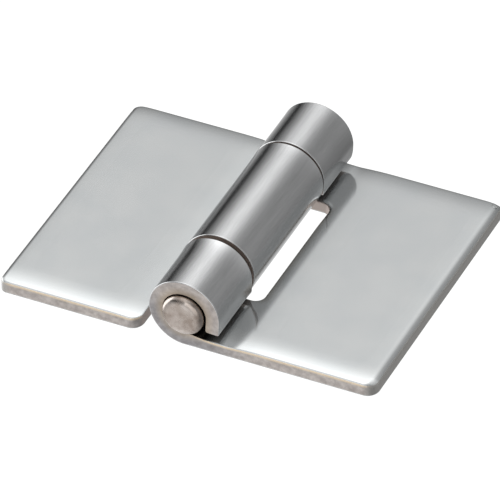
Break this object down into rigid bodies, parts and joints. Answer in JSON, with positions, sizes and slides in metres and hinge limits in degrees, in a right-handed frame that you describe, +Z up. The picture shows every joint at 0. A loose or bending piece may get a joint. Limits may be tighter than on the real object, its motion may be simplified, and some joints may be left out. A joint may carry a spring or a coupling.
{
  "type": "butt hinge",
  "caption": "Plain weld-on butt hinge in stainless sheet: flat leaves with curled knuckles turning on a round pin.",
  "frame": {"origin": "on the surface that the open hinge lies on, below the middle of the pin", "axes": "+Y along the pin, +X towards the free edge of the leaf with the outer knuckles, +Z up from the leaves' undersides to the knuckles"},
  "size_m": [0.0784, 0.0628, 0.015],
  "materials": {
    "leaf_steel": "smooth cold-rolled stainless with a fine grain",
    "pin_steel": "dull cropped end, brushed along its length"
  },
  "bodies": {
    "outer_leaf": {"outer_knuckle_leaf": "leaf_steel", "hinge_pin": "pin_steel"},
    "centre_leaf": {"centre_knuckle_leaf": "leaf_steel"}
  },
  "joints": [
    {"name": "leaf_swing", "type": "hinge", "parent": "outer_leaf", "child": "centre_leaf", "pos_m": [0, 0, 0.0075], "axis": [0, 1, 0], "range_deg": [-90, 180]}
  ]
}
